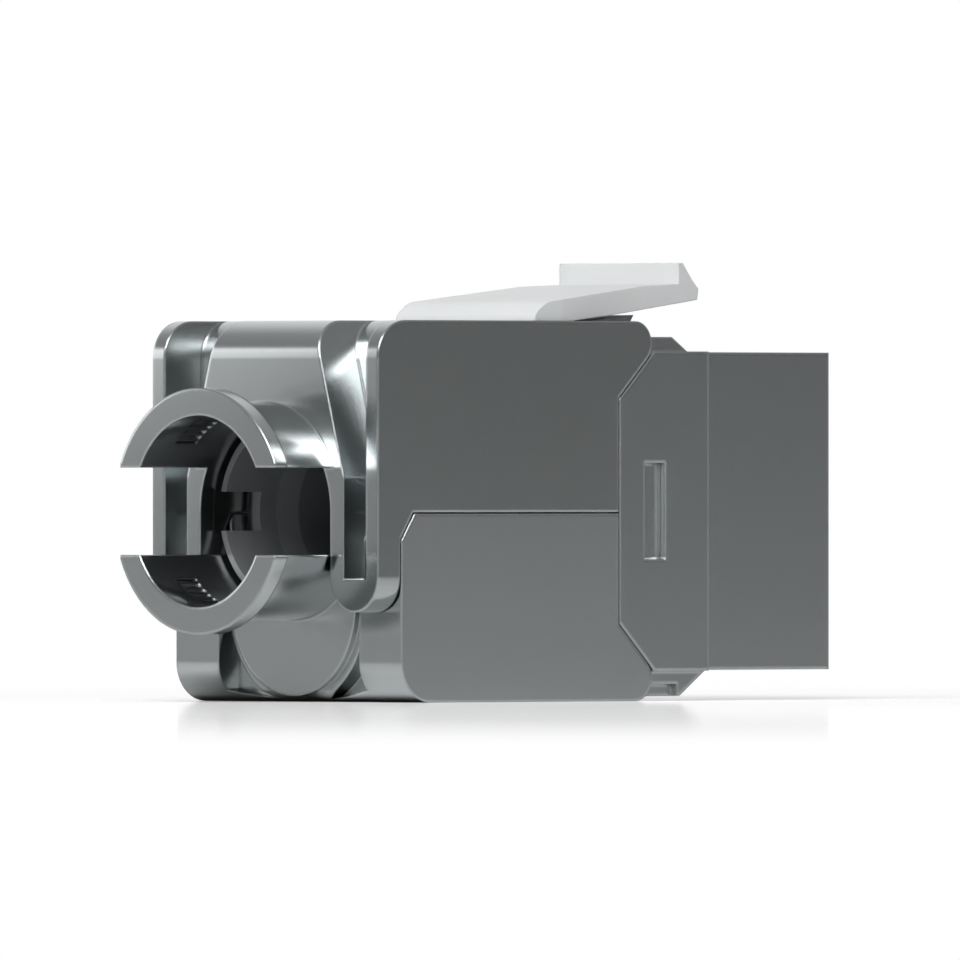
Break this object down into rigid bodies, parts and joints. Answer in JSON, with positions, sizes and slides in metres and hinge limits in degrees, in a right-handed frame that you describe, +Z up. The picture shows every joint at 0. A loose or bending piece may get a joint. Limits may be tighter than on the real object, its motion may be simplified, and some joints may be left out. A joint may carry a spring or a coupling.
{
  "type": "keystone jack",
  "caption": "Shielded snap-in network jack with two swing-open cable jaws, a white snap latch and a socket in its nose.",
  "frame": {"origin": "middle of the part's outline, on the surface it stands on", "axes": "+X from the cable collar to the nose that faces through the panel, +Z up to the latch"},
  "size_m": [0.0378, 0.0168, 0.0225],
  "materials": {
    "die_cast": "satin nickel plating on die-cast zinc",
    "white_plastic": "fine satin moulding",
    "black_plastic": "matt moulding",
    "grey_plastic": "matt moulding",
    "board": "solder mask",
    "contact_gold": "gold plating",
    "tinned_bronze": "dull tin plating",
    "spring_steel": "dark rolled spring steel",
    "pin_steel": "ground steel"
  },
  "bodies": {
    "housing": {"front_housing": "die_cast", "socket_insert": "black_plastic", "circuit_board": "board", "idc_block_upper": "grey_plastic", "idc_block_lower": "grey_plastic", "wire_guide": "black_plastic", "latch_spring": "spring_steel", "shield_spring_left": "spring_steel", "shield_spring_right": "spring_steel", "contact_wire_1": "contact_gold", "contact_wire_2": "contact_gold", "contact_wire_3": "contact_gold", "contact_wire_4": "contact_gold", "contact_wire_5": "contact_gold", "contact_wire_6": "contact_gold", "contact_wire_7": "contact_gold", "contact_wire_8": "contact_gold", "idc_blade_1": "tinned_bronze", "idc_blade_2": "tinned_bronze", "idc_blade_3": "tinned_bronze", "idc_blade_4": "tinned_bronze", "idc_blade_5": "tinned_bronze", "idc_blade_6": "tinned_bronze", "idc_blade_7": "tinned_bronze", "idc_blade_8": "tinned_bronze", "hinge_pin_upper_left": "pin_steel", "hinge_pin_upper_right": "pin_steel", "hinge_pin_lower_left": "pin_steel", "hinge_pin_lower_right": "pin_steel"},
    "upper_jaw": {"upper_jaw": "die_cast"},
    "lower_jaw": {"lower_jaw": "die_cast"},
    "latch": {"latch": "white_plastic"}
  },
  "joints": [
    {"name": "upper_jaw_hinge", "type": "hinge", "parent": "housing", "child": "upper_jaw", "pos_m": [0.00393, 0, 0.01835], "axis": [0, 1, 0], "range_deg": [0, 95]},
    {"name": "lower_jaw_hinge", "type": "hinge", "parent": "housing", "child": "lower_jaw", "pos_m": [0.00393, 0, 0.00115], "axis": [0, -1, 0], "range_deg": [0, 95]},
    {"name": "latch_hinge", "type": "hinge", "parent": "housing", "child": "latch", "pos_m": [0.00123, 0, 0.01895], "axis": [0, 1, 0], "range_deg": [0, 7.5], "stiffness_Nm_per_rad": 0.05, "deforming": ["latch_spring"]}
  ],
  "couplings": [
    {"joint": "lower_jaw_hinge", "follows": "upper_jaw_hinge", "ratio": 1}
  ]
}
